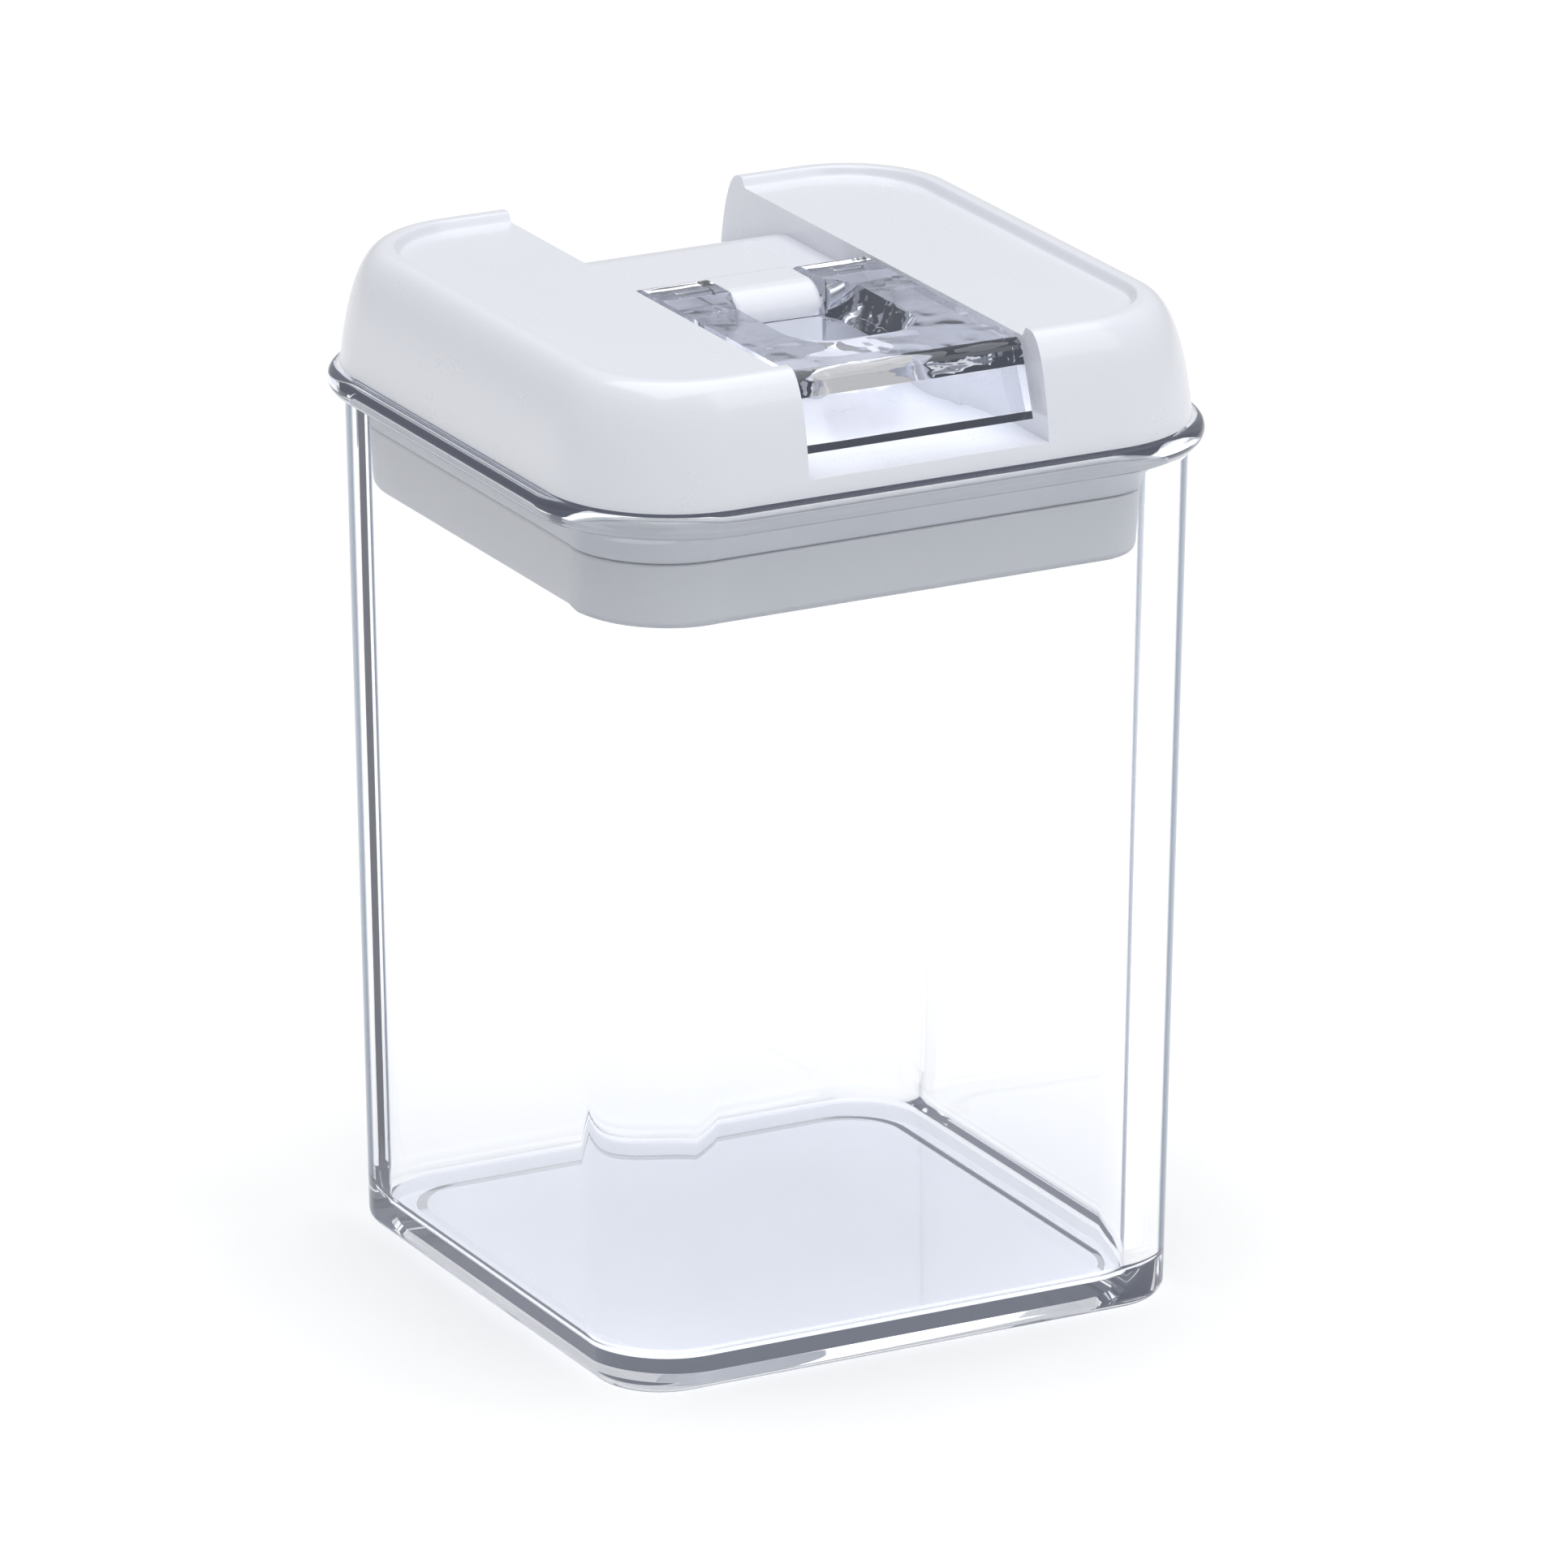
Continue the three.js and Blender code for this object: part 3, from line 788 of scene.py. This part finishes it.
def moulded_plastic(name, pale, deep, gloss, coat):
    """Smooth moulded plastic: faint cloudiness in its colour and a fine even texture."""
    nodes = Nodes(name)
    clouds = nodes.noise(40 * MM)
    grain = nodes.noise(0.5 * MM, detail=4.0)
    flow = nodes.noise(9 * MM, detail=2.0)
    tone = 0.7 * clouds + 0.3 * grain
    shader = nodes.add(
        "BsdfPrincipled",
        None,
        Base_Color=nodes.shade(tone, deep, pale),
        Roughness=gloss + 0.08 * grain + 0.06 * flow,
        Normal=nodes.bump(grain + 6.0 * flow, 0.006 * MM),
        Coat_Weight=coat,
        Coat_Roughness=0.08,
        Specular_IOR_Level=0.5,
        IOR=1.48,
    )
    shader.inputs["Subsurface Weight"].default_value = 0.06
    shader.inputs["Subsurface Radius"].default_value = (1.0, 1.0, 1.0)
    shader.inputs["Subsurface Scale"].default_value = 1.5 * MM
    return nodes.finish(shader)


# How far along its surface clear material is seen before its painted edge shade starts and is full,
# and the height at which the jar's upright wall starts.
PAINTED_EDGE_FROM_TO = (0.59, 0.66)
WALL_FOOT = 7.0 * MM


def clear_material(name, pale, painted_edge_shades, ior, wave, ripple, glows):
    """
    Clear glass or plastic with faint flow ripples. Shadow rays pass straight through, so that
    light reaches what is inside, and a faint glow stands for light that is trapped in the wall.
    Seen along its surface the material takes a painted edge shade: a tint that stands in for the
    shade and refracted surroundings seen at its silhouettes. The painted edge shade and the glow are
    given as pairs: one for the base and bead, and one for the heights of the upright wall.
    """
    nodes = Nodes(name)
    streak = nodes.noise(wave, detail=1.5, stretch=(1, 1, 0.35))
    specks = nodes.noise(0.8 * MM, detail=3.0)
    facing = nodes.add("LayerWeight", None, Blend=0.5).outputs["Facing"]
    # painted edge shade: the more a view grazes the surface, the more of the edge tint is painted into
    # the base colour
    along = nodes.add("MapRange", None, facing, *PAINTED_EDGE_FROM_TO, 0.0, 1.0)
    height = Value(nodes, nodes.add("SeparateXYZ", None, nodes.place()).outputs["Z"])
    above_base = height.calc("GREATER_THAN", height, WALL_FOOT)
    below_bead = height.calc("LESS_THAN", height, RIM - BEAD_HEIGHT - BEAD_FILLET)
    on_wall = above_base * below_bead
    glass = nodes.add(
        "BsdfPrincipled",
        None,
        Base_Color=nodes.shade(along, pale, nodes.shade(on_wall, *painted_edge_shades)),
        Roughness=0.008 + 0.02 * specks,
        Normal=nodes.bump(streak, ripple),
        IOR=ior,
        Transmission_Weight=1.0,
        Emission_Color=nodes.shade(on_wall, *glows),
        Emission_Strength=1.0,
    )
    ray = nodes.add("LightPath").outputs["Is Shadow Ray"]
    through = nodes.add("BsdfTransparent", None, Color=pale)
    mix = nodes.add("MixShader", None, ray, glass, through)
    return nodes.finish(mix)


def silicone():
    """Milky soft silicone: dull, a little see-through at its edges, with a fine tooth."""
    nodes = Nodes("milky_silicone")
    clouds = nodes.noise(12 * MM)
    tooth = nodes.noise(0.35 * MM, detail=4.0)
    shader = nodes.add(
        "BsdfPrincipled",
        None,
        Base_Color=nodes.shade(clouds, (0.60, 0.63, 0.68), (0.70, 0.73, 0.77)),
        Roughness=0.48 + 0.12 * tooth,
        Normal=nodes.bump(tooth, 0.01 * MM),
        Sheen_Weight=0.2,
        Subsurface_Weight=0.15,
    )
    shader.inputs["Subsurface Scale"].default_value = 2 * MM
    return nodes.finish(shader)


def brushed_steel():
    """Ground steel wire: fine lines round the pin, drawn out across its length."""
    nodes = Nodes("ground_steel")
    lines = nodes.noise(0.25 * MM, detail=4.0, stretch=(6, 0.3, 0.3))
    shader = nodes.add(
        "BsdfPrincipled",
        None,
        Base_Color=nodes.shade(lines, (0.50, 0.51, 0.53), (0.66, 0.67, 0.69)),
        Metallic=1.0,
        Roughness=0.2 + 0.2 * lines,
        Normal=nodes.bump(lines, 0.004 * MM),
    )
    return nodes.finish(shader)


def floor_material():
    """A plain pale floor."""
    nodes = Nodes("studio_floor")
    tone = nodes.noise(300 * MM)
    shader = nodes.add(
        "BsdfPrincipled",
        None,
        Base_Color=nodes.shade(tone, (0.95, 0.95, 0.95), (0.97, 0.97, 0.97)),
        Roughness=0.9,
        Emission_Color=(1.0, 1.0, 1.0),
        Emission_Strength=0.06,
    )
    return nodes.finish(shader)


# ---------------------------------------------------------------- assembly

WHITE_PALE, WHITE_DEEP = (0.74, 0.76, 0.82), (0.70, 0.72, 0.78)
INNER_PALE, INNER_DEEP = (0.65, 0.67, 0.70), (0.61, 0.63, 0.66)
# Painted edge shades for clear material, tints that stand in for shade and refracted surroundings at
# its silhouettes: pale lavender on the jar's base and bead, dark slate on its upright wall, smoke on
# the lever.
BASE_EDGE_SHADE = (0.67, 0.70, 0.78)
WALL_EDGE_SHADE = (0.03, 0.05, 0.09)
LEVER_EDGE_SHADE = (0.58, 0.60, 0.68)
GLASS_PALE = (0.985, 0.99, 1.0)
BASE_GLOW, WALL_GLOW = (0.022, 0.024, 0.030), (0.008, 0.009, 0.013)
CLEAR_PALE, CLEAR_GLOW = (0.97, 0.975, 1.0), (0.008, 0.009, 0.012)
GLASS_IOR, GLASS_WAVE, GLASS_RIPPLE = 1.49, 60 * MM, 0.02 * MM
CLEAR_IOR, CLEAR_WAVE, CLEAR_RIPPLE = 1.5, 9 * MM, 0.4 * MM

white = moulded_plastic("white_plastic", WHITE_PALE, WHITE_DEEP, gloss=0.22, coat=0.5)
inner_white = moulded_plastic("inner_white_plastic", INNER_PALE, INNER_DEEP, gloss=0.38, coat=0.0)
glass = clear_material(
    "jar_glass",
    pale=GLASS_PALE,
    painted_edge_shades=(BASE_EDGE_SHADE, WALL_EDGE_SHADE),
    ior=GLASS_IOR,
    wave=GLASS_WAVE,
    ripple=GLASS_RIPPLE,
    glows=(BASE_GLOW, WALL_GLOW),
)
clear = clear_material(
    "clear_plastic",
    pale=CLEAR_PALE,
    painted_edge_shades=(LEVER_EDGE_SHADE, LEVER_EDGE_SHADE),
    ior=CLEAR_IOR,
    wave=CLEAR_WAVE,
    ripple=CLEAR_RIPPLE,
    glows=(CLEAR_GLOW, CLEAR_GLOW),
)

ASSEMBLY = [
    (make_jar, glass, "jar", "glass_jar", "jar_glass"),
    (make_cover, white, "lid", "lid_cover", "cover_white"),
    (make_underframe, inner_white, "lid", "lid_underframe", "inner_white"),
    (make_seal, silicone(), "lid", "seal_gasket", "seal_silicone"),
    (make_plate, inner_white, "lift", "pressure_plate", "inner_white"),
    (make_post, white, "lift", "lift_post", "cover_white"),
    (make_lever, clear, "lever", "flip_lever", "lever_clear"),
]
for make, material, body, node, slot in ASSEMBLY:
    made = even(make())
    made.data.materials.clear()
    made.data.materials.append(material)
    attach(made, body)
    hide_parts(node)

pin = even(pivot_bar("cross_pin", PIN_RADIUS, pin_high[0], PIN_CHAMFER))
pin.data.materials.append(brushed_steel())
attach(pin, "lever")
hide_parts("pivot_pin")

# ---------------------------------------------------------------- studio

BOUNCES = 32
WORLD_STRENGTH = 0.50

scene = bpy.context.scene
scene.view_settings.view_transform = "Standard"
scene.cycles.max_bounces = BOUNCES
scene.cycles.transmission_bounces = BOUNCES
scene.cycles.transparent_max_bounces = BOUNCES

FLOOR_HALF = 6.0
FLOOR_DROP = 0.05 * MM
corners = FLOOR_HALF * np.array([[-1, -1, 0], [1, -1, 0], [1, 1, 0], [-1, 1, 0]])
floor = make_object("floor", corners - [0, 0, FLOOR_DROP], [[0, 1, 2, 3]])
floor.data.materials.append(floor_material())

AIM = Vector((0, 0, 0.0685))


def direction(azimuth, elevation):
    """The unit vector towards an azimuth (0 is -Y, turning to +X) and an elevation, in degrees."""
    a, e = math.radians(azimuth), math.radians(elevation)
    return Vector((math.sin(a) * math.cos(e), -math.cos(a) * math.cos(e), math.sin(e)))


def soft_light(name, azimuth, elevation, distance, size, power):
    """A square soft light that faces the canister."""
    light = bpy.data.lights.new(name, "AREA")
    light.size, light.energy = size, power
    lamp = bpy.data.objects.new(name, light)
    towards = direction(azimuth, elevation)
    lamp.location = AIM + towards * distance
    lamp.rotation_euler = towards.to_track_quat("Z", "Y").to_euler()
    scene.collection.objects.link(lamp)


soft_light("top_light", 0, 88, 1.8, 2.0, 28.0)
soft_light("left_light", -105, 35, 1.4, 0.7, 0.1)
soft_light("right_light", 30, 40, 1.4, 0.7, 2.2)

world = bpy.data.worlds.new("studio")
scene.world = world
world.use_nodes = True
backdrop = world.node_tree.nodes["Background"]
backdrop.inputs["Color"].default_value = (1, 1, 1, 1)
backdrop.inputs["Strength"].default_value = WORLD_STRENGTH

CAMERA_DISTANCE = 1.9
CAMERA_AZIMUTH, CAMERA_ELEVATION = -27.8, 18.87
CAMERA_LENS, SENSOR_WIDTH = 302.6, 36
CAMERA_SHIFT = (0.0132, 0.0147)

camera_data = bpy.data.cameras.new("camera")
camera_data.sensor_width = SENSOR_WIDTH
camera_data.lens = CAMERA_LENS
camera_data.shift_x, camera_data.shift_y = CAMERA_SHIFT
camera = bpy.data.objects.new("camera", camera_data)
back = direction(CAMERA_AZIMUTH, CAMERA_ELEVATION)
camera.location = AIM + back * CAMERA_DISTANCE
camera.rotation_euler = back.to_track_quat("Z", "Y").to_euler()
scene.collection.objects.link(camera)
scene.camera = camera
